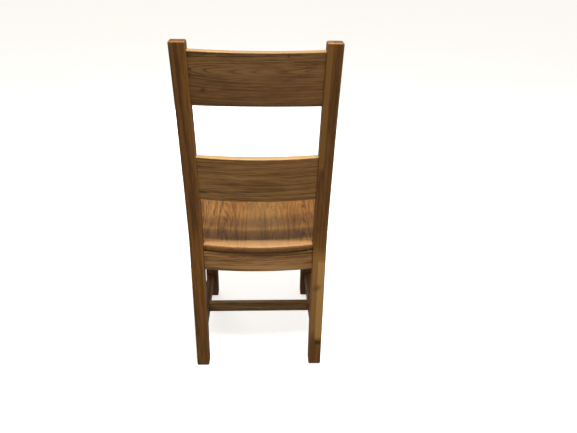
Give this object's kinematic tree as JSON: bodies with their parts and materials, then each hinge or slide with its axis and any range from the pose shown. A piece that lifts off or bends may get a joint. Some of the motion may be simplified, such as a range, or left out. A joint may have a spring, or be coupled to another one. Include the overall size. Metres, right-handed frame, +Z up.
{
  "type": "dining chair",
  "caption": "Ladder-back dining chair in solid wood: bowed back rails between raked posts, a dished plank seat on an apron frame, and an H stretcher below.",
  "frame": {"origin": "on the floor, under the middle of the chair's bounding box", "axes": "+Z up; the chair faces -Y, so its back is towards +Y; +X is the sitter's left"},
  "size_m": [0.43, 0.583, 1.05],
  "materials": {
    "frame_oak": "satin lacquer on stained oak",
    "seat_oak": "satin lacquer on lighter oak staves",
    "block_pine": "sawn, unfinished",
    "screw_steel": "zinc plated",
    "glide_nylon": "moulded, matte"
  },
  "bodies": {
    "root": {"back_post_left": "frame_oak", "back_post_right": "frame_oak", "front_leg_left": "frame_oak", "front_leg_right": "frame_oak", "crest_rail": "frame_oak", "lumbar_rail": "frame_oak", "rear_apron": "frame_oak", "front_apron": "frame_oak", "side_apron_left": "frame_oak", "side_apron_right": "frame_oak", "side_stretcher_left": "frame_oak", "side_stretcher_right": "frame_oak", "cross_stretcher": "frame_oak", "seat_board": "seat_oak", "corner_block_front_left": "block_pine", "corner_block_front_right": "block_pine", "corner_block_rear_left": "block_pine", "corner_block_rear_right": "block_pine", "end_screw_front_left": "screw_steel", "end_screw_front_right": "screw_steel", "end_screw_rear_left": "screw_steel", "end_screw_rear_right": "screw_steel", "side_screw_front_left": "screw_steel", "side_screw_front_right": "screw_steel", "side_screw_rear_left": "screw_steel", "side_screw_rear_right": "screw_steel", "seat_screw_front_left": "screw_steel", "seat_screw_front_right": "screw_steel", "seat_screw_rear_left": "screw_steel", "seat_screw_rear_right": "screw_steel", "glide_front_left": "glide_nylon", "glide_front_right": "glide_nylon", "glide_rear_left": "glide_nylon", "glide_rear_right": "glide_nylon"}
  },
  "joints": []
}
